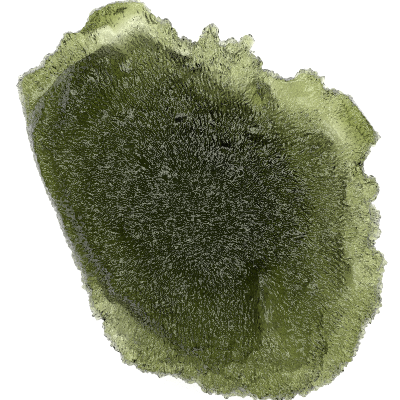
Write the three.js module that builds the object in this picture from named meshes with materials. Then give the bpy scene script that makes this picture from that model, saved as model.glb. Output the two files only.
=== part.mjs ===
// Moldavite: one piece of green natural glass, a flattened drop with a thin broken rim and an etched skin.
// Millimetres, +Z up. The origin is under the middle of the outline, on the surface the stone lies on.
import * as THREE from "three";
import { mergeVertices } from "three/addons/utils/BufferGeometryUtils.js";
import { ImprovedNoise } from "three/addons/math/ImprovedNoise.js";

// The top face falls a little from its crown to its shoulder
const crownHeight = 10.9;
const faceFall = 1.8;
const lipWidth = 0.5;

// The underside is a shallow cone from the resting spot outward, which levels out toward the rim
const restShare = 0.2;
const restWander = 0.1;
const levelFrom = 0.7;
const coneSpread = 0.05;
const rimWander = 0.5;
const rimWanderLength = 4.5;

// The foot and the shoulder of the wall wander in and out
const scallopReach = 0.15;
const scallopLength = 2.7;

// The skin: lumps, flutes that run out from the middle, and how they fade where the glass is thin
const lumpHeight = 0.34;
const lumpLength = 3.4;
const smallLumpShare = 0.6;
const fluteCount = 46;
const fluteHeight = 0.2;
const fluteWander = 5;
const fluteWanderLength = 6;
const fluteFrom = 6;
const fluteTo = 11;
const fullReliefThickness = 3;
const underRelief = 0.4;
const bellyFade = 1.5;
const thinnestGlass = 0.5;

// Facets
const rings = 35;
const shelfRings = 5;
const wallRings = 6;
const outlineSmoothing = 7;
const raggedFrom = 0.72;

const glassColour = 0x4a5224;
const glassRoughness = 0.16;

// The outline from above, clockwise from the tip of the broken ledge at the left.
const brokenLedge = [
  [-18.4, 12.0], [-18.0, 12.8], [-17.3, 12.9], [-16.1, 13.5], [-15.4, 14.5], [-14.7, 14.7],
  [-14.1, 15.4], [-13.5, 16.6], [-13.1, 16.7], [-12.5, 16.5], [-11.5, 17.0], [-11.2, 18.0],
  [-10.8, 18.7], [-9.6, 19.3], [-8.2, 19.7], [-6.2, 19.9], [-5.4, 19.2], [-4.7, 18.0],
];
const topTeeth = [
  [-4.2, 18.0], [-3.0, 17.9], [-2.7, 17.1], [-2.4, 16.2], [-2.0, 15.9], [-1.6, 16.4], [-1.2, 15.8],
  [-0.8, 15.5], [0.0, 15.8], [0.5, 16.9], [0.9, 17.4], [1.4, 17.5], [1.7, 16.6], [2.0, 16.0],
  [2.1, 15.5], [2.6, 15.8], [3.3, 15.9], [3.8, 15.7], [4.1, 15.9], [4.6, 16.5], [5.1, 16.2],
  [5.2, 15.7], [5.1, 15.1], [5.3, 14.7], [5.4, 14.1], [5.9, 14.0], [6.2, 13.7], [6.2, 13.1],
];
const comb = [
  [6.9, 13.0], [7.2, 12.5], [7.8, 12.4], [8.3, 12.0], [9.3, 12.1], [9.7, 12.6], [10.4, 13.1],
  [11.0, 12.8], [11.7, 12.5], [12.2, 12.0], [12.2, 11.2], [12.7, 10.9], [13.3, 11.0], [14.0, 10.5],
];
const rightSide = [
  [14.8, 10.4], [16.0, 8.8], [17.1, 7.2], [17.8, 6.2], [17.2, 5.5], [16.7, 5.1], [16.4, 4.1],
  [15.9, 3.3], [16.1, 2.6], [16.5, 2.2], [17.1, 2.0], [17.7, 1.6], [17.8, 1.1], [17.4, 0.4],
  [16.9, -0.2], [17.3, -0.8], [17.9, -1.9], [17.9, -3.0], [17.5, -3.6], [17.0, -3.9], [17.4, -5.1],
  [18.1, -5.5], [18.35, -6.2], [18.2, -7.1], [17.8, -7.6], [17.9, -8.5], [17.6, -9.0], [17.9, -10.0],
  [17.7, -10.9], [17.1, -11.5],
];
const lowerRight = [
  [16.8, -11.9], [16.3, -12.2], [16.0, -13.3], [15.4, -14.9], [15.2, -15.6], [14.3, -16.4],
  [13.7, -17.3], [12.8, -18.3], [12.1, -18.3], [11.2, -18.8], [10.3, -19.4], [9.8, -19.1],
  [8.9, -19.7], [7.8, -19.85], [5.6, -19.75], [5.1, -19.4], [4.0, -19.4], [2.6, -19.6], [1.4, -19.1],
];
const lowerLeft = [
  [0.6, -19.2], [0.0, -18.4], [-0.5, -18.0], [-1.2, -18.3], [-1.6, -17.9], [-2.7, -17.4], [-4.0, -17.5],
  [-5.4, -17.2], [-6.8, -16.5], [-7.8, -16.0], [-8.5, -14.8], [-9.3, -13.8], [-9.8, -12.7], [-9.8, -12.0],
  [-10.4, -11.7], [-10.9, -10.9], [-11.1, -9.9], [-11.0, -9.3], [-11.6, -8.8], [-11.9, -7.9], [-11.8, -7.3],
];
const leftSide = [
  [-12.5, -6.4], [-12.9, -5.2], [-13.5, -4.1], [-14.2, -2.1], [-14.6, -0.8], [-15.1, 0.0], [-15.9, 2.2],
  [-16.7, 4.4], [-17.0, 5.7], [-17.25, 6.6], [-17.2, 8.6], [-17.3, 9.8], [-17.8, 11.0],
];

// How the edge is made, clockwise: the level of the underside at the rim, the thickness of the glass close
// behind the rim, the width of a shelf and the thickness at its inner end, and the width of the wall from the
// shelf up to the shoulder of the top face.
const edges = [
  { at: [-18.4, 12.0], level: 4.0, lip: 3.0, shelf: 2.8, inner: 4.5, wall: 1.2 },
  { at: [-14.1, 15.4], level: 4.2, lip: 3.6, shelf: 2.4, inner: 4.5, wall: 1.0 },
  { at: [-12.5, 16.5], level: 4.8, lip: 3.6, shelf: 1.9, inner: 2.2, wall: 1.6 },
  { at: [-10.8, 18.7], level: 6.1, lip: 3.4, shelf: 2.7, inner: 1.5, wall: 1.9 },
  { at: [-6.2, 19.9], level: 6.3, lip: 3.2, shelf: 1.6, inner: 1.5, wall: 2.0 },
  { at: [-3.0, 17.9], level: 6.2, lip: 2.1, shelf: 1.5, inner: 2.3, wall: 1.8 },
  { at: [-0.8, 15.5], level: 5.8, lip: 1.8, shelf: 1.1, inner: 2.4, wall: 1.8 },
  { at: [1.4, 17.5], level: 6.5, lip: 1.8, shelf: 2.6, inner: 2.9, wall: 2.6 },
  { at: [4.6, 16.5], level: 6.2, lip: 1.8, shelf: 3.4, inner: 3.0, wall: 3.0 },
  { at: [6.9, 13.0], level: 5.8, lip: 1.8, shelf: 1.7, inner: 2.4, wall: 1.2 },
  { at: [9.3, 12.1], level: 6.2, lip: 2.8, shelf: 2.4, inner: 3.1, wall: 2.8 },
  { at: [12.2, 12.0], level: 6.4, lip: 3.0, shelf: 3.2, inner: 3.0, wall: 3.2 },
  { at: [17.8, 6.2], level: 6.7, lip: 3.0, shelf: 1.9, inner: 2.8, wall: 3.0 },
  { at: [15.9, 3.3], level: 6.0, lip: 3.0, shelf: 0.6, inner: 3.4, wall: 1.6 },
  { at: [17.8, 1.1], level: 6.6, lip: 2.4, shelf: 1.6, inner: 2.6, wall: 2.4 },
  { at: [17.9, -3.0], level: 6.4, lip: 1.3, shelf: 1.7, inner: 2.8, wall: 2.6 },
  { at: [18.35, -6.2], level: 6.6, lip: 2.2, shelf: 2.4, inner: 3.2, wall: 3.2 },
  { at: [17.9, -10.0], level: 6.0, lip: 2.4, shelf: 1.0, inner: 3.4, wall: 1.4 },
  { at: [12.8, -18.3], level: 5.4, lip: 2.6, shelf: 1.2, inner: 3.4, wall: 1.6 },
  { at: [5.6, -19.75], level: 4.0, lip: 3.6, shelf: 1.8, inner: 4.8, wall: 2.4 },
  { at: [0.6, -19.2], level: 3.6, lip: 3.0, shelf: 1.4, inner: 4.4, wall: 2.2 },
  { at: [-5.4, -17.2], level: 3.6, lip: 3.5, shelf: 2.6, inner: 3.9, wall: 1.8 },
  { at: [-9.3, -13.8], level: 4.8, lip: 2.5, shelf: 2.5, inner: 2.5, wall: 1.6 },
  { at: [-10.9, -10.9], level: 4.2, lip: 2.2, shelf: 1.6, inner: 2.8, wall: 1.4 },
  { at: [-12.5, -6.4], level: 2.0, lip: 3.8, shelf: 1.1, inner: 5.2, wall: 1.7 },
  { at: [-15.1, 0.0], level: 1.5, lip: 4.2, shelf: 0.7, inner: 5.8, wall: 1.8 },
  { at: [-17.0, 5.7], level: 1.8, lip: 4.0, shelf: 0.6, inner: 5.8, wall: 1.8 },
  { at: [-17.3, 9.8], level: 2.6, lip: 3.4, shelf: 1.4, inner: 5.0, wall: 1.6 },
];

// Hollows in the top face and in the underside, each a bowl or a trough from one point to another.
const topHollows = [
  { from: [6.3, -7.4], to: [6.9, -13.4], radius: 2.2, depth: 1.9 },
  { from: [-9.2, -10.1], to: [-8.8, -10.5], radius: 1.4, depth: 0.8 },
  { from: [-8.7, -12.8], to: [-7.0, -15.0], radius: 1.5, depth: 1.0 },
  { from: [-7.6, 13.8], to: [-7.4, 12.6], radius: 1.9, depth: 0.5 },
  { from: [6.4, 11.0], to: [6.6, 10.4], radius: 1.2, depth: 1.0 },
  { from: [-2.6, 14.6], to: [-1.4, 14.4], radius: 1.0, depth: 1.0 },
  { from: [-1.8, 8.2], to: [-1.4, 7.6], radius: 1.5, depth: 0.6 },
  { from: [5.2, 7.2], to: [5.8, 6.6], radius: 1.4, depth: 0.6 },
  { from: [-7.0, 5.4], to: [-6.4, 3.0], radius: 1.5, depth: 0.6 },
  { from: [-3.2, 2.6], to: [-2.6, 2.2], radius: 1.2, depth: 0.5 },
  { from: [13.2, 7.4], to: [14.2, 6.4], radius: 1.9, depth: 0.8 },
  { from: [14.8, -4.6], to: [15.4, -7.6], radius: 1.6, depth: 0.7 },
  { from: [11.2, -8.2], to: [11.0, -9.0], radius: 1.4, depth: 0.5 },
  { from: [8.6, -12.4], to: [8.6, -13.2], radius: 1.4, depth: 0.5 },
  { from: [-0.6, -8.8], to: [0.6, -10.4], radius: 1.5, depth: 0.6 },
  { from: [-8.8, -3.4], to: [-7.6, -4.6], radius: 1.6, depth: 0.6 },
];
const underHollows = [
  { from: [-9.0, 7.5], to: [-6.6, 8.8], radius: 2.8, depth: 0.35 },
  { from: [8.5, 4.0], to: [10.4, 2.2], radius: 2.8, depth: 0.3 },
  { from: [-5.4, -9.6], to: [-3.2, -11.4], radius: 2.8, depth: 0.3 },
];

const noise = new ImprovedNoise();
const rimCount = 4 * rings;

function ease(x) {
  return THREE.MathUtils.smoothstep(x, 0, 1);
}

// The drawn outline with its longest runs halved until there is one point for every rim vertex.
function rimPoints() {
  const drawn = [brokenLedge, topTeeth, comb, rightSide, lowerRight, lowerLeft, leftSide].flat();
  const points = drawn.map(([x, y]) => new THREE.Vector2(x, y));
  while (points.length < rimCount) {
    const runs = points.map((point, i) => point.distanceTo(points[(i + 1) % points.length]));
    const longest = runs.indexOf(Math.max(...runs));
    const middle = points[longest].clone().lerp(points[(longest + 1) % points.length], 0.5);
    points.splice(longest + 1, 0, middle);
  }
  return points;
}

// The rim with its teeth and notches averaged away.
function smoothedRim(points) {
  return points.map((_, i) => {
    const sum = new THREE.Vector2();
    for (let k = -outlineSmoothing; k <= outlineSmoothing; k += 1) {
      sum.add(points[(i + k + rimCount) % rimCount]);
    }
    return sum.divideScalar(2 * outlineSmoothing + 1);
  });
}

function alongRim(points, turn) {
  const place = turn * rimCount;
  const i = Math.floor(place);
  return points[i % rimCount].clone().lerp(points[(i + 1) % rimCount], place - i);
}

const rim = rimPoints();
const softRim = smoothedRim(rim);

// Each edge section at its place around the rim, as a share of a full turn.
const sections = edges.map((edge) => {
  const at = new THREE.Vector2(...edge.at);
  const gaps = rim.map((point) => point.distanceTo(at));
  return { ...edge, turn: gaps.indexOf(Math.min(...gaps)) / rimCount };
});

function edgeAt(turn) {
  const found = sections.findIndex((section) => section.turn > turn);
  const next = found < 0 ? 0 : found;
  const last = (next + sections.length - 1) % sections.length;
  const span = (sections[next].turn - sections[last].turn + 1) % 1;
  const share = ease(((turn - sections[last].turn + 1) % 1) / span);
  const names = Object.keys(sections[0]).filter((name) => name !== "at" && name !== "turn");
  const sizes = names.map((name) => {
    return [name, THREE.MathUtils.lerp(sections[last][name], sections[next][name], share)];
  });
  return Object.fromEntries(sizes);
}

function hollowDepth(hollows, x, y) {
  const point = new THREE.Vector3(x, y, 0);
  const nearest = new THREE.Vector3();
  let depth = 0;
  for (const hollow of hollows) {
    const line = new THREE.Line3(new THREE.Vector3(...hollow.from, 0), new THREE.Vector3(...hollow.to, 0));
    line.closestPointToPoint(point, true, nearest);
    const reach = Math.min(nearest.distanceTo(point) / hollow.radius, 1);
    depth = Math.max(depth, hollow.depth * (1 - reach * reach) ** 2);
  }
  return depth;
}

// Lumps over the whole face, and flutes that run outward with sharp crests and round floors.
function skin(x, y, side) {
  const lump = noise.noise(x / lumpLength, y / lumpLength, side)
    + smallLumpShare * noise.noise((2 * x) / lumpLength, (2 * y) / lumpLength, side + 7.3);
  const wander = fluteWander * noise.noise(x / fluteWanderLength, y / fluteWanderLength, side + 3.1);
  const flute = Math.abs(Math.sin(0.5 * fluteCount * Math.atan2(y, x) + wander));
  const outward = THREE.MathUtils.smoothstep(Math.hypot(x, y), fluteFrom, fluteTo);
  return lumpHeight * lump + fluteHeight * outward * (0.6 - flute);
}

// How far in from the rim a ring of the top face lies: rings gather on the shelf and on the wall.
function topInward(share, edge, shelf, radius) {
  const ring = (1 - share) * rings;
  if (ring <= shelfRings) {
    return (shelf * ring) / shelfRings;
  }
  const onWall = ring - shelfRings;
  if (onWall <= wallRings) {
    return shelf + (edge.wall * onWall) / wallRings;
  }
  return THREE.MathUtils.mapLinear(onWall, wallRings, rings - shelfRings, shelf + edge.wall, radius);
}

// The cone's level at the rim and the reach of the top face, averaged along the edge to both sides.
function besides(turn) {
  const spread = [-1, -0.75, -0.5, -0.25, 0, 0.25, 0.5, 0.75, 1];
  const mean = { level: 0, reach: 0 };
  for (const step of spread) {
    const beside = (turn + step * coneSpread + 1) % 1;
    const edge = edgeAt(beside);
    mean.level += edge.level / spread.length;
    mean.reach += (alongRim(softRim, beside).length() - edge.shelf - edge.wall) / spread.length;
  }
  return mean;
}

function underHeight(level, share, turn) {
  const angle = 2 * Math.PI * turn;
  const spot = restShare + restWander * noise.noise(5 * Math.cos(angle), 5 * Math.sin(angle), 1.7);
  const outward = Math.max((share - spot) / (1 - spot), 0);
  const levelling = Math.max(outward - levelFrom, 0) ** 2 / (2 * (1 - levelFrom));
  return (level * (outward - levelling)) / (0.5 + 0.5 * levelFrom);
}

// The shelf lies on the cone, rounded at the rim; the wall leads from it up to the face.
function topHeight(edge, reach, under, shelf, inward, radius) {
  const rounded = Math.sqrt(Math.min(inward / lipWidth, 1));
  const shelfTop = under + rounded * THREE.MathUtils.lerp(edge.lip, edge.inner, ease(inward / shelf));
  const faceTop = crownHeight - faceFall * ((radius - inward) / reach) ** 2;
  return THREE.MathUtils.lerp(shelfTop, faceTop, ease((inward - shelf) / edge.wall));
}

function shapeVertex(vertex) {
  const reach = Math.abs(vertex.x) + Math.abs(vertex.y);
  const ringShare = reach / (reach + Math.abs(vertex.z));
  const quarterTurn = (1 - (reach > 0 ? vertex.x / reach : 1)) / 4;
  const turn = vertex.y > 0 ? (1 - quarterTurn) % 1 : quarterTurn;
  const edge = edgeAt(turn);
  const mean = besides(turn);
  const outerRim = alongRim(rim, turn);
  const innerRim = alongRim(softRim, turn);
  const radius = innerRim.length();
  const sway = noise.noise(outerRim.x / rimWanderLength, outerRim.y / rimWanderLength, 5.7);
  const onTop = vertex.z > 1e-6;
  const wander = noise.noise(innerRim.x / scallopLength, innerRim.y / scallopLength, 9.2);
  const shelf = Math.max(edge.shelf + 2 * scallopReach * Math.min(edge.shelf, 1) * wander, 0.3);
  const inward = onTop ? topInward(ringShare, edge, shelf, radius) : (1 - ringShare) * radius;
  const share = 1 - inward / radius;
  const ragged = THREE.MathUtils.smoothstep(share, raggedFrom, 1);
  const point = innerRim.lerp(outerRim, ragged).multiplyScalar(share);
  const under = underHeight(mean.level + rimWander * sway, share, turn);
  const top = topHeight(edge, mean.reach, under, shelf, inward, radius);
  const relief = Math.min((top - under) / fullReliefThickness, 1);
  if (onTop) {
    const hollowed = top + relief * (skin(point.x, point.y, 0) - hollowDepth(topHollows, point.x, point.y));
    return vertex.set(point.x, point.y, Math.max(hollowed, under + thinnestGlass * Math.min(2 * inward, 1)));
  }
  const dented = underRelief * skin(point.x, point.y, 20) + hollowDepth(underHollows, point.x, point.y);
  return vertex.set(point.x, point.y, Math.max(under + ease(under / bellyFade) * relief * dented, 0));
}

function stoneGeometry() {
  const ball = new THREE.OctahedronGeometry(1, rings - 1);
  ball.deleteAttribute("normal");
  ball.deleteAttribute("uv");
  const geometry = mergeVertices(ball, 1e-5);
  const positions = geometry.getAttribute("position");
  const vertex = new THREE.Vector3();
  for (let i = 0; i < positions.count; i += 1) {
    vertex.fromBufferAttribute(positions, i);
    shapeVertex(vertex);
    positions.setXYZ(i, vertex.x, vertex.y, vertex.z);
  }
  geometry.computeBoundingBox();
  const box = geometry.boundingBox;
  geometry.translate(-(box.min.x + box.max.x) / 2, -(box.min.y + box.max.y) / 2, -box.min.z);
  geometry.computeVertexNormals();
  return geometry;
}

const glass = new THREE.MeshStandardMaterial({
  color: glassColour,
  roughness: glassRoughness,
  metalness: 0,
});
const stone = new THREE.Mesh(stoneGeometry(), glass);
stone.name = "moldavite";

const group = new THREE.Group();
group.name = "moldavite_stone";
group.add(stone);

export default group;
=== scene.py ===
# Moldavite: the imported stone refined, etched with furrows and given its green glass, on a plain pale floor.
import math
import bpy
import numpy as np
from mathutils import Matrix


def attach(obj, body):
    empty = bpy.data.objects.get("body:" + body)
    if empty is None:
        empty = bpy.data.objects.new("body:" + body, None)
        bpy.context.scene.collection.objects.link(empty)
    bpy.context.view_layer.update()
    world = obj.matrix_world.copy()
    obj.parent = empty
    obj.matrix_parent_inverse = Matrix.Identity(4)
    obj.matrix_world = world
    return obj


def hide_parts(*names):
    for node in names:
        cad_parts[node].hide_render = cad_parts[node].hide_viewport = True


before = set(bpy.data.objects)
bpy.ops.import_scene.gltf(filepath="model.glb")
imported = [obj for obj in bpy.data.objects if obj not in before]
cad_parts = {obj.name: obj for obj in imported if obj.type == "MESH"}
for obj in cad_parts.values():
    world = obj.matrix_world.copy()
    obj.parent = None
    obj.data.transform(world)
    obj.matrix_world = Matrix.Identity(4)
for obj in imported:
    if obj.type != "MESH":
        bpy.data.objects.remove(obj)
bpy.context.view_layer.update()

mm = 0.001


def makeActive(thing):
    bpy.ops.object.select_all(action="DESELECT")
    thing.select_set(True)
    bpy.context.view_layer.objects.active = thing


def applyModifier(thing, kind, **settings):
    makeActive(thing)
    bpy.ops.object.modifier_add(type=kind)
    modifier = thing.modifiers[-1]
    for name, value in settings.items():
        setattr(modifier, name, value)
    bpy.ops.object.modifier_apply(modifier=modifier.name)


def addNode(tree, kind, values=None, **settings):
    node = tree.nodes.new(kind)
    for name, value in settings.items():
        setattr(node, name, value)
    for socket, value in (values or {}).items():
        if isinstance(value, bpy.types.NodeSocket):
            tree.links.new(value, node.inputs[socket])
        else:
            node.inputs[socket].default_value = value
    return node


def mathNode(tree, operation, first, second=0.0, third=0.0):
    return addNode(tree, "ShaderNodeMath", {0: first, 1: second, 2: third}, operation=operation).outputs[0]


def vectorNode(tree, operation, first, second=None, output=0, **extra):
    values = {0: first}
    if second is not None:
        values[1] = second
    values.update(extra)
    return addNode(tree, "ShaderNodeVectorMath", values, operation=operation).outputs[output]


def vertexPoints(thing):
    points = np.empty(len(thing.data.vertices) * 3)
    thing.data.vertices.foreach_get("co", points)
    return points.reshape(-1, 3) / mm


# A patch is an ellipse seen from above, in mm: middle, half lengths, turn in degrees.
patchFade = {"from": 0.6, "width": 0.7}  # as shares of the half lengths
fullFacing = 0.5


def ellipseReach(points, patch):
    # 0 in the middle of a patch, 1 on its ellipse.
    away = points[:, :2] - np.array(patch["at"])
    turn = math.radians(patch["turn"])
    along = (away[:, 0] * math.cos(turn) + away[:, 1] * math.sin(turn)) / patch["half"][0]
    across = (away[:, 1] * math.cos(turn) - away[:, 0] * math.sin(turn)) / patch["half"][1]
    return np.hypot(along, across)


def patchReach(points, patch):
    # 0 in the middle of a patch, 1 outside it, with a soft edge.
    return np.clip((ellipseReach(points, patch) - patchFade["from"]) / patchFade["width"], 0, 1)


def facingShare(thing, way):
    # How far each vertex faces up (way 1) or down (way -1).
    normals = np.empty(len(thing.data.vertices) * 3)
    thing.data.vertex_normals.foreach_get("vector", normals)
    return np.clip(way * normals[2::3] / fullFacing, 0, 1)


# The stone: copy of the CAD solid, merged, remeshed finely and its facets eased away.
stoneShape = {
    "mergeDistance": 0.001 * mm,
    "voxel": 0.118 * mm,
    "outlineRounds": 2,
    "easeRounds": 8,
    "easeFactor": 0.5,
    "rimSectors": 500,
    "fineRim": 4.0,
    "underFacing": -0.3,
    "underShare": 0.12,
    "triangles": 190000,
}
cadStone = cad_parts["moldavite"]
stone = bpy.data.objects.new("moldavite_glass", cadStone.data.copy())
bpy.context.scene.collection.objects.link(stone)
makeActive(stone)
bpy.ops.object.mode_set(mode="EDIT")
bpy.ops.mesh.select_all(action="SELECT")
bpy.ops.mesh.remove_doubles(threshold=stoneShape["mergeDistance"])
bpy.ops.object.mode_set(mode="OBJECT")

# Parts of the top face that stand higher or lower than in the CAD solid, in mm.
raisedParts = [
    {"at": (-12.6, 9.8), "half": (5.4, 2.7), "turn": 45, "rise": 1.8},
    {"at": (-9.9, 18.0), "half": (3.2, 1.7), "turn": 35, "rise": 1.3},
    {"at": (15.9, 7.6), "half": (2.4, 1.9), "turn": -45, "rise": 1.5},
    {"at": (13.6, -3.0), "half": (2.4, 5.0), "turn": 0, "rise": 0.5},
    {"at": (4.0, -17.0), "half": (8.0, 2.2), "turn": -4, "rise": -0.6},
    {"at": (6.6, -9.6), "half": (1.5, 4.4), "turn": 3, "rise": 0.3},
    {"at": (0.8, 11.2), "half": (5.0, 1.8), "turn": -30, "rise": -0.4},
    {"at": (6.0, 10.6), "half": (0.9, 1.2), "turn": 15, "rise": 1.5},
]
# Parts of the underside that stand higher, in mm.
hollowParts = [
    {"at": (1.0, 10.6), "half": (7.5, 3.8), "turn": -25, "rise": 0.5},
    {"at": (4.0, 6.6), "half": (6.0, 4.0), "turn": -25, "rise": 0.6},
    {"at": (12.8, -4.5), "half": (3.8, 7.5), "turn": 0, "rise": 0.3},
    {"at": (6.6, -10.5), "half": (3.0, 5.4), "turn": 3, "rise": 0.6},
]
# The ledge broken off at the upper left: pairs of points from the face's edge outward, with levels, in mm.
ledgeCut = [
    ((-17.2, 6.6, 6.6), (-19.6, 7.4, 6.3)),
    ((-16.6, 8.7, 6.6), (-19.6, 10.4, 6.0)),
    ((-15.8, 9.8, 6.7), (-19.3, 12.8, 6.0)),
    ((-14.7, 10.9, 6.8), (-17.6, 14.6, 6.2)),
    ((-13.9, 12.0, 7.0), (-16.2, 16.2, 6.6)),
    ((-12.9, 12.9, 7.6), (-14.8, 17.0, 7.7)),
    ((-11.5, 13.7, 7.9), (-13.2, 17.0, 8.4)),
    ((-10.2, 14.5, 7.6), (-11.8, 16.4, 8.3)),
    ((-9.2, 15.3, 7.0), (-10.4, 16.6, 7.4)),
    ((-8.2, 16.3, 6.9), (-9.0, 17.2, 7.2)),
]
cutTop = 20.0


def raiseParts(thing, parts, way):
    points = vertexPoints(thing)
    share = facingShare(thing, way)
    for part in parts:
        points[:, 2] += part["rise"] * share * (1 - patchReach(points, part))
    thing.data.vertices.foreach_set("co", points.ravel() * mm)
    thing.data.update()


def cutLedge(thing):
    # A block over the ledge, its floor at the given levels, is taken out of the stone.
    corners = []
    for inner, outer in ledgeCut:
        for x, y, level in (inner, outer):
            corners += [(x * mm, y * mm, level * mm), (x * mm, y * mm, cutTop * mm)]
    sides = [(0, 1, 3, 2), tuple(len(corners) - 4 + step for step in (0, 2, 3, 1))]
    for start in range(0, len(corners) - 4, 4):
        for first, second in ((0, 2), (2, 3), (3, 1), (1, 0)):
            sides.append((start + first, start + second, start + second + 4, start + first + 4))
    block = bpy.data.meshes.new("ledgeBlock")
    block.from_pydata(corners, [], sides)
    cutter = bpy.data.objects.new("ledgeBlock", block)
    bpy.context.scene.collection.objects.link(cutter)
    makeActive(cutter)
    bpy.ops.object.mode_set(mode="EDIT")
    bpy.ops.mesh.select_all(action="SELECT")
    bpy.ops.mesh.normals_make_consistent(inside=False)
    bpy.ops.object.mode_set(mode="OBJECT")
    applyModifier(thing, "BOOLEAN", operation="DIFFERENCE", object=cutter, solver="EXACT")
    makeActive(cutter)
    bpy.ops.object.delete()
    makeActive(thing)


raiseParts(stone, raisedParts, 1)
raiseParts(stone, hollowParts, -1)
cutLedge(stone)
print("ledge cut:", len(stone.data.polygons), "faces")
applyModifier(stone, "REMESH", mode="VOXEL", voxel_size=stoneShape["voxel"], use_smooth_shade=True)
applyModifier(stone, "SMOOTH", factor=stoneShape["easeFactor"], iterations=stoneShape["outlineRounds"])
applyModifier(stone, "SMOOTH", factor=stoneShape["easeFactor"], iterations=stoneShape["easeRounds"],
              use_x=False, use_y=False)


def rimCloseness(points, reach):
    # 1 on the rim, the farthest point in each direction from the middle; 0 from some way inside it.
    sectors = stoneShape["rimSectors"]
    radius = np.hypot(points[:, 0], points[:, 1])
    sector = ((np.arctan2(points[:, 1], points[:, 0]) / (2 * math.pi) + 0.5) * sectors).astype(int)
    sector = np.minimum(sector, sectors - 1)
    outermost = np.zeros(sectors)
    np.maximum.at(outermost, sector, radius)
    return np.clip(1 - (outermost[sector] - radius) / reach, 0, 1)


# How far the walls of the face are softened, and the steps that stay sharp.
softWalls = {"rounds": 160, "slopeRounds": 700, "slopePower": 3, "levels": 20, "rimReach": 2.0}
sharpSteps = [
    {"at": (-12.4, 12.4), "half": (7.5, 2.6), "turn": 45},
    {"at": (-2.1, 14.3), "half": (1.5, 1.0), "turn": -10},
    {"at": (6.0, 10.6), "half": (1.2, 1.5), "turn": 0},
]
# Long even slopes down to the shelves.
longSlopes = [
    {"at": (2.2, 12.2), "half": (4.2, 2.6), "turn": -30},
    {"at": (9.6, 7.6), "half": (4.0, 2.6), "turn": -38},
    {"at": (14.0, -3.4), "half": (2.4, 7.5), "turn": 4},
    {"at": (5.6, -9.0), "half": (2.2, 4.4), "turn": 0},
]


def softenTop(thing, rounds, share):
    # Eases the heights, each vertex by its own share.
    group = thing.vertex_groups.new(name="softened")
    level = np.rint(share * softWalls["levels"]).astype(int)
    for step in range(1, softWalls["levels"] + 1):
        group.add(np.flatnonzero(level == step).tolist(), step / softWalls["levels"], "REPLACE")
    applyModifier(thing, "SMOOTH", factor=stoneShape["easeFactor"], iterations=rounds,
                  use_x=False, use_y=False, vertex_group=group.name)
    thing.vertex_groups.clear()


stonePoints = vertexPoints(stone)
topShare = facingShare(stone, 1) * (1 - rimCloseness(stonePoints, softWalls["rimReach"]))
for step in sharpSteps:
    topShare *= patchReach(stonePoints, step)
softenTop(stone, softWalls["rounds"], topShare)
slopeShare = np.zeros(len(stonePoints))
for slope in longSlopes:
    slopeShare = np.maximum(slopeShare, 1 - patchReach(stonePoints, slope))
softenTop(stone, softWalls["slopeRounds"], topShare * slopeShare ** softWalls["slopePower"])

# The middle of the underside needs fewer faces.
bpy.ops.object.mode_set(mode="EDIT")
bpy.ops.mesh.select_mode(type="FACE")
bpy.ops.mesh.select_all(action="DESELECT")
bpy.ops.object.mode_set(mode="OBJECT")
inside = rimCloseness(vertexPoints(stone), stoneShape["fineRim"]) == 0
for face in stone.data.polygons:
    face.select = bool(face.normal.z < stoneShape["underFacing"] and inside[face.vertices[0]])
bpy.ops.object.mode_set(mode="EDIT")
bpy.ops.mesh.decimate(ratio=stoneShape["underShare"])
bpy.ops.object.mode_set(mode="OBJECT")
print("stone refined:", len(stone.data.polygons), "faces")

# Where the skin stays smooth, and how much of the etching is left there.
smoothPatches = [
    {"at": (-15.2, 11.4), "half": (2.4, 0.9), "turn": 45},
    {"at": (-9.0, 16.6), "half": (3.6, 0.8), "turn": 52},
    {"at": (-7.6, 13.4), "half": (1.4, 1.8), "turn": 0},
    {"at": (13.0, 7.0), "half": (1.6, 1.2), "turn": -35},
    {"at": (16.2, 8.6), "half": (2.2, 0.6), "turn": -52},
    {"at": (15.0, -7.6), "half": (1.0, 1.6), "turn": 0},
    {"at": (14.5, -5.0), "half": (0.9, 0.7), "turn": 0},
    {"at": (9.4, 10.6), "half": (2.4, 1.6), "turn": -20},
    {"at": (6.1, -10.6), "half": (1.3, 3.4), "turn": 3},
]
# Broad smooth swellings that catch the light.
swellings = [
    {"at": (-1.7, 8.0), "half": (0.9, 0.55), "turn": 20, "rise": 0.16},
    {"at": (-6.9, 5.2), "half": (0.7, 0.6), "turn": -30, "rise": 0.16},
    {"at": (5.4, 6.9), "half": (0.8, 0.5), "turn": 10, "rise": 0.15},
    {"at": (-3.3, 2.4), "half": (0.6, 0.7), "turn": 0, "rise": 0.16},
    {"at": (-6.0, 2.8), "half": (0.7, 0.5), "turn": 40, "rise": 0.15},
    {"at": (2.4, 5.0), "half": (0.7, 0.5), "turn": -15, "rise": 0.15},
    {"at": (-0.5, -2.1), "half": (0.6, 0.6), "turn": 0, "rise": 0.15},
    {"at": (8.5, -12.8), "half": (1.0, 0.6), "turn": 25, "rise": 0.2},
    {"at": (9.3, -3.5), "half": (1.3, 0.5), "turn": 15, "rise": 0.18},
    {"at": (11.0, -8.5), "half": (0.7, 0.5), "turn": -20, "rise": 0.16},
    {"at": (4.2, -3.0), "half": (0.6, 0.5), "turn": 30, "rise": 0.15},
    {"at": (-9.4, 8.2), "half": (0.7, 0.5), "turn": 15, "rise": 0.15},
    {"at": (1.8, -6.8), "half": (0.6, 0.5), "turn": -40, "rise": 0.15},
    {"at": (9.6, -14.6), "half": (0.8, 1.0), "turn": 0, "rise": 0.22},
]
skin = {
    "smoothShare": 0.12,
    "bellyTop": 5.0,
    "flatBelow": 0.02,
    "flatFade": 0.3,
}


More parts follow.
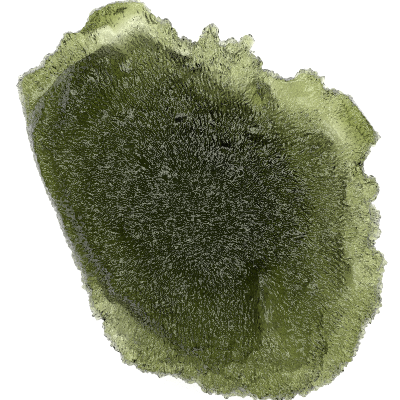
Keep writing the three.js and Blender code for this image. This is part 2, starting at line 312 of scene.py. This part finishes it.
def etchDepth(points):
    # The underside is etched all over, but the resting spot stays flat.
    etched = np.ones(len(points))
    for patch in smoothPatches + swellings:
        left = skin["smoothShare"] + (1 - skin["smoothShare"]) * patchReach(points, patch)
        etched = np.minimum(etched, np.where(points[:, 2] > skin["bellyTop"], left, 1))
    return etched * np.clip((points[:, 2] - skin["flatBelow"]) / skin["flatFade"], 0, 1)


def swellRise(points):
    rise = np.zeros(len(points))
    for patch in swellings:
        bell = np.clip(1 - ellipseReach(points, patch) ** 2, 0, 1) ** 1.5
        rise += np.where(points[:, 2] > skin["bellyTop"], patch["rise"] * bell, 0)
    return rise


# The ridges run outward from the middle of the face, and are turned aside in some places.
flow = {
    "from": (-0.5, -1.8),
    "coreRadius": 7.0,
    "coreTurn": 8,
    "turns": [
        {"at": (-11.0, 3.0), "radius": 8.5, "turn": 32},
        {"at": (10.5, 0.0), "radius": 5.0, "turn": -22},
        {"at": (5.6, -10.5), "radius": 4.0, "turn": -28},
    ],
}


def flowWays(points):
    # The cosine and sine of twice the ridges' angle; near the middle the ridges lie across the face.
    away = points[:, :2] - np.array(flow["from"])
    angle = np.arctan2(away[:, 1], away[:, 0])
    for turned in flow["turns"]:
        reach = np.hypot(*(points[:, :2] - np.array(turned["at"])).T) / turned["radius"]
        angle += math.radians(turned["turn"]) * np.clip(1 - reach ** 2, 0, 1) ** 2
    core = np.clip(1 - (np.hypot(*away.T) / flow["coreRadius"]) ** 2, 0, 1) ** 1.5
    coreTurn = math.radians(flow["coreTurn"])
    ways = np.zeros((len(points), 3))
    ways[:, 0] = (1 - core) * np.cos(2 * angle) + core * math.cos(2 * coreTurn)
    ways[:, 1] = (1 - core) * np.sin(2 * angle) + core * math.sin(2 * coreTurn)
    return ways / np.maximum(np.linalg.norm(ways, axis=1, keepdims=True), 1e-6)


# The rim crumbles into small knobs; sizes in mm.
crumble = {
    "reach": 4.5,
    "length": 1.2,
    "height": 0.27,
    "fineLength": 0.62,
    "fineHeight": 0.07,
    "knobFall": 3.0,
    "calm": 0.35,
    "rough": 0.75,
}
# Stretches of the rim that crumble less.
calmRims = [
    {"at": (-15.0, 1.5), "half": (3.0, 10.0), "turn": 16},
    {"at": (16.4, 8.4), "half": (3.0, 1.6), "turn": -52},
    {"at": (-11.0, 16.6), "half": (8.0, 2.6), "turn": 40},
]
# Parts of the face that crumble like the rim.
roughParts = [
    {"at": (2.5, -16.4), "half": (8.5, 2.6), "turn": -4},
    {"at": (10.4, -13.6), "half": (3.0, 3.4), "turn": 30},
    {"at": (16.0, -5.0), "half": (2.0, 3.0), "turn": 0},
    {"at": (1.5, 14.6), "half": (4.0, 1.6), "turn": -28},
]


def crumbling(points):
    amount = rimCloseness(points, crumble["reach"])
    for patch in calmRims:
        amount *= crumble["calm"] + (1 - crumble["calm"]) * patchReach(points, patch)
    for patch in roughParts:
        amount = np.maximum(amount, crumble["rough"] * (1 - patchReach(points, patch)))
    return amount


def storeSkin(thing):
    points = vertexPoints(thing)
    layers = thing.data.attributes
    for name, kind, field, values in (
        ("etch", "FLOAT", "value", etchDepth(points)),
        ("flow", "FLOAT_VECTOR", "vector", flowWays(points).ravel()),
        ("rim", "FLOAT", "value", crumbling(points)),
        ("swell", "FLOAT", "value", swellRise(points)),
    ):
        layer = layers.get(name) or layers.new(name, kind, "POINT")
        layer.data.foreach_set(field, values)


storeSkin(stone)

# Worm-like ridges along the flow and low lumps; sizes in mm.
ridges = {"spacing": 0.62, "bendLength": 1.6, "bend": 9.0, "height": 0.02, "rimHeight": 0.08, "seed": 2.3}
lumps = {"length": 1.7, "height": 0.14, "detail": 1.5}
grating = {"directions": 6, "focus": 6.0, "seedSkew": 7}


def ridgeField(tree, points, ways, size):
    # Gratings in several directions, each strong where the flow runs its way.
    place = vectorNode(tree, "ADD", points, (size["seed"], grating["seedSkew"] * size["seed"], 0))
    drift = addNode(tree, "ShaderNodeTexNoise", {
        "Vector": place, "Scale": 1 / size["bendLength"], "Detail": 0.0}).outputs["Color"]
    directions = grating["directions"]
    count = 2 * math.pi / size["spacing"]
    total = 0.0
    for step in range(directions):
        turn = math.pi * step / directions
        match = vectorNode(tree, "DOT_PRODUCT", ways, (math.cos(2 * turn), math.sin(2 * turn), 0), output=1)
        weight = mathNode(tree, "POWER", mathNode(tree, "MULTIPLY_ADD", match, 0.5, 0.5), grating["focus"])
        across = (-count * math.sin(turn), count * math.cos(turn), 0)
        bend = [size["bend"] * math.cos(2 * math.pi * (step / directions + third / 3)) for third in range(3)]
        phase = mathNode(tree, "ADD",
                         vectorNode(tree, "DOT_PRODUCT", points, across, output=1),
                         vectorNode(tree, "DOT_PRODUCT", drift, bend, output=1))
        total = mathNode(tree, "MULTIPLY_ADD", mathNode(tree, "SINE", phase), weight, total)
    return total


def namedLayer(tree, name, kind="FLOAT"):
    return addNode(tree, "GeometryNodeInputNamedAttribute", {"Name": name}, data_type=kind).outputs[0]


def etchGroup():
    tree = bpy.data.node_groups.new("etchedSkin", "GeometryNodeTree")
    tree.interface.new_socket("Geometry", in_out="INPUT", socket_type="NodeSocketGeometry")
    tree.interface.new_socket("Geometry", in_out="OUTPUT", socket_type="NodeSocketGeometry")
    start = addNode(tree, "NodeGroupInput")
    end = addNode(tree, "NodeGroupOutput")
    points = vectorNode(tree, "SCALE", addNode(tree, "GeometryNodeInputPosition").outputs[0], Scale=1 / mm)
    normal = addNode(tree, "GeometryNodeInputNormal").outputs[0]
    etched = namedLayer(tree, "etch")
    ways = namedLayer(tree, "flow", "FLOAT_VECTOR")
    rim = namedLayer(tree, "rim")
    swell = namedLayer(tree, "swell")
    lump = addNode(tree, "ShaderNodeTexNoise", {
        "Vector": points, "Scale": 1 / lumps["length"], "Detail": lumps["detail"]})
    lumpRise = mathNode(tree, "MULTIPLY_ADD", lump.outputs[0], 2 * lumps["height"], -lumps["height"])
    rimExtra = ridges["rimHeight"] - ridges["height"]
    ridgeHeight = mathNode(tree, "MULTIPLY_ADD", rim, rimExtra, ridges["height"])
    rise = mathNode(tree, "MULTIPLY_ADD", ridgeField(tree, points, ways, ridges), ridgeHeight, lumpRise)
    knobs = 0.0
    for length, height in (("length", "height"), ("fineLength", "fineHeight")):
        cells = addNode(tree, "ShaderNodeTexVoronoi", {"Vector": points, "Scale": 1 / crumble[length]})
        fall = mathNode(tree, "POWER", cells.outputs["Distance"], 2.0)
        knobDrop = -crumble["knobFall"] * crumble[height]
        knobRise = mathNode(tree, "MULTIPLY_ADD", fall, knobDrop, crumble[height])
        knobs = mathNode(tree, "ADD", knobs, knobRise)
    rise = mathNode(tree, "MULTIPLY_ADD", knobs, rim, rise)
    rise = mathNode(tree, "MULTIPLY_ADD", rise, etched, swell)
    offset = vectorNode(tree, "SCALE", normal, Scale=mathNode(tree, "MULTIPLY", rise, mm))
    moved = addNode(tree, "GeometryNodeSetPosition", {"Geometry": start.outputs[0], "Offset": offset})
    tree.links.new(moved.outputs[0], end.inputs[0])
    return tree


def triangleCount(thing):
    return sum(len(face.vertices) - 2 for face in thing.data.polygons)


applyModifier(stone, "NODES", node_group=etchGroup())
applyModifier(stone, "DECIMATE", ratio=stoneShape["triangles"] / triangleCount(stone))
stone.data.validate()  # clears faulty faces left by the decimation
storeSkin(stone)
print("skin etched:", triangleCount(stone), "triangles")

# Green glass: clear with absorption, finest ridges as bump.
glass = {
    "ior": 1.49,
    "absorbColour": (0.52, 0.565, 0.18, 1.0),
    "absorbDensity": 760.0,
    "roughness": 0.15,
    "glintTint": (0.95, 1.0, 0.78, 1.0),
}
fineRidges = {
    "spacing": 0.42,
    "bendLength": 0.8,
    "bend": 8.5,
    "height": 0.044,
    "seed": 5.9,
    "patchLength": 2.0,
    "patchDetail": 1.0,
    "patchDepth": 0.9,
    "rimWear": 0.2,
}


def moldaviteGlass():
    material = bpy.data.materials.new("moldavite_glass")
    material.use_nodes = True
    tree = material.node_tree
    tree.nodes.clear()
    place = addNode(tree, "ShaderNodeTexCoord").outputs["Object"]
    points = vectorNode(tree, "SCALE", place, Scale=1 / mm)
    etched = addNode(tree, "ShaderNodeAttribute", attribute_name="etch").outputs["Fac"]
    ways = addNode(tree, "ShaderNodeAttribute", attribute_name="flow").outputs["Vector"]
    patches = addNode(tree, "ShaderNodeTexNoise", {
        "Vector": points,
        "Scale": 1 / fineRidges["patchLength"],
        "Detail": fineRidges["patchDetail"],
    }).outputs[0]
    depth = fineRidges["patchDepth"]
    patchy = mathNode(tree, "MULTIPLY_ADD", patches, 2 * depth, 1 - depth)
    rim = addNode(tree, "ShaderNodeAttribute", attribute_name="rim").outputs["Fac"]
    worn = mathNode(tree, "MULTIPLY_ADD", rim, -fineRidges["rimWear"], 1.0)
    bump = addNode(tree, "ShaderNodeBump", {
        "Strength": mathNode(tree, "MULTIPLY", etched, worn),
        "Distance": fineRidges["height"] * mm,
        "Height": mathNode(tree, "MULTIPLY", ridgeField(tree, points, ways, fineRidges), patchy),
    })
    shader = addNode(tree, "ShaderNodeBsdfPrincipled", {
        "Base Color": (1, 1, 1, 1),
        "Roughness": glass["roughness"],
        "IOR": glass["ior"],
        "Transmission Weight": 1.0,
        "Specular Tint": glass["glintTint"],
        "Normal": bump.outputs[0],
    })
    absorption = addNode(tree, "ShaderNodeVolumeAbsorption", {
        "Color": glass["absorbColour"],
        "Density": glass["absorbDensity"],
    })
    addNode(tree, "ShaderNodeOutputMaterial", {"Surface": shader.outputs[0], "Volume": absorption.outputs[0]})
    return material


stone.data.materials.clear()
stone.data.materials.append(moldaviteGlass())
for face in stone.data.polygons:
    face.use_smooth = True
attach(stone, "root")
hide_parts("moldavite")
print("glass given")

# Plain pale floor.
stage = {
    "floorSize": 1.2,
    "floorColour": (0.9, 0.9, 0.88, 1.0),
    "floorRoughness": 0.9,
    "glowColour": (1, 1, 0.985, 1),
    "floorGlow": 0.5,
}
bpy.ops.object.select_all(action="DESELECT")
bpy.ops.mesh.primitive_plane_add(size=stage["floorSize"])
floor = bpy.context.active_object
floor.name = "floor"
paper = bpy.data.materials.new("pale_paper")
paper.use_nodes = True
paperShader = paper.node_tree.nodes["Principled BSDF"]
paperShader.inputs["Base Color"].default_value = stage["floorColour"]
paperShader.inputs["Roughness"].default_value = stage["floorRoughness"]
paperShader.inputs["Emission Color"].default_value = stage["glowColour"]
paperShader.inputs["Emission Strength"].default_value = stage["floorGlow"]
floor.data.materials.append(paper)

# Soft studio light: boxes around the stone, a dim room above.
softBoxes = [
    {"name": "left_box", "azimuth": 160, "height": 50, "size": 0.24, "power": 0.95},
    {"name": "back_left_box", "azimuth": 110, "height": 54, "size": 0.21, "power": 0.7},
    {"name": "back_right_box", "azimuth": 60, "height": 54, "size": 0.21, "power": 0.7},
    {"name": "right_box", "azimuth": 10, "height": 50, "size": 0.21, "power": 0.7},
    {"name": "front_right_box", "azimuth": 310, "height": 54, "size": 0.21, "power": 0.55},
    {"name": "front_left_box", "azimuth": 240, "height": 54, "size": 0.21, "power": 0.55},
]
boxReach = 0.5
for softBox in softBoxes:
    around = math.radians(softBox["azimuth"])
    above = math.radians(softBox["height"])
    place = (
        boxReach * math.cos(above) * math.cos(around),
        boxReach * math.cos(above) * math.sin(around),
        boxReach * math.sin(above),
    )
    bpy.ops.object.light_add(type="AREA", location=place)
    lamp = bpy.context.active_object
    lamp.name = softBox["name"]
    lamp.rotation_euler = (math.pi / 2 - above, 0, around + math.pi / 2)
    lamp.data.size = softBox["size"]
    lamp.data.energy = softBox["power"]
room = {"colour": (1, 1, 1, 1), "strength": 0.04}
world = bpy.data.worlds.new("studio")
bpy.context.scene.world = world
world.use_nodes = True
world.node_tree.nodes["Background"].inputs["Color"].default_value = room["colour"]
world.node_tree.nodes["Background"].inputs["Strength"].default_value = room["strength"]

# Crisp picture without stray bright points.
picture = {"filterWidth": 1.0, "indirectClamp": 1.0}
bpy.context.scene.view_settings.view_transform = "Standard"
bpy.context.scene.cycles.use_denoising = False  # it wipes out the fine ridges
bpy.context.scene.cycles.filter_width = picture["filterWidth"]
bpy.context.scene.cycles.sample_clamp_indirect = picture["indirectClamp"]

# Camera straight above, its frame 40 mm across at the rim.
view = {"lens": 200.0, "sensor": 36.0, "across": 40.0 * mm, "rimLevel": 3.6 * mm, "clipStart": 5.0 * mm}
distance = view["across"] * view["lens"] / view["sensor"]
bpy.ops.object.camera_add(location=(0, 0, view["rimLevel"] + distance), rotation=(0, 0, 0))
camera = bpy.context.active_object
camera.data.lens = view["lens"]
camera.data.sensor_width = view["sensor"]
camera.data.clip_start = view["clipStart"]
bpy.context.scene.camera = camera
print("stage, light and camera set")
